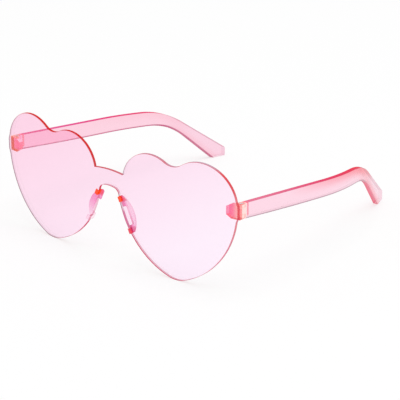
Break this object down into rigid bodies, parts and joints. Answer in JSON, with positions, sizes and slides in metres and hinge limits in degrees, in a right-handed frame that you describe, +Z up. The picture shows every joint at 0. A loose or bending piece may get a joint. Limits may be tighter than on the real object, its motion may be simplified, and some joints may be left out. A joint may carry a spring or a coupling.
{
  "type": "sunglasses",
  "caption": "Rimless heart shaped sunglasses in clear pink plastic, with a one-piece lens shield, clip-on nose pads and temple arms that fold inward on screw hinges.",
  "frame": {"origin": "Centre of the bounding box in plan, on the surface that the heart tips and arm tips stand on.", "axes": "+X to the wearer's left, +Y back from the lens towards the ears, +Z up."},
  "size_m": [0.1486, 0.1518, 0.0612],
  "materials": {
    "lens_tint": "clear pink tinted polycarbonate sheet, polished, with coral cut edges",
    "frame_tint": "clear pink moulded polycarbonate, glossy",
    "pad_tint": "clear coral pink moulded plastic, glossy",
    "screw_steel": "plain steel screw, fine turned finish"
  },
  "bodies": {
    "front": {"lens_shield": "lens_tint", "left_end_piece": "frame_tint", "right_end_piece": "frame_tint", "left_hinge_screw": "screw_steel", "right_hinge_screw": "screw_steel", "left_nose_pad": "pad_tint", "right_nose_pad": "pad_tint"},
    "left_temple": {"left_temple_arm": "frame_tint"},
    "right_temple": {"right_temple_arm": "frame_tint"}
  },
  "joints": [
    {"name": "left_fold", "type": "hinge", "parent": "front", "child": "left_temple", "pos_m": [0.07285, -0.06531, 0.0408], "axis": [0, 0, 1], "range_deg": [0, 84]},
    {"name": "right_fold", "type": "hinge", "parent": "front", "child": "right_temple", "pos_m": [-0.07285, -0.06531, 0.0408], "axis": [0, 0, -1], "range_deg": [0, 79]}
  ]
}
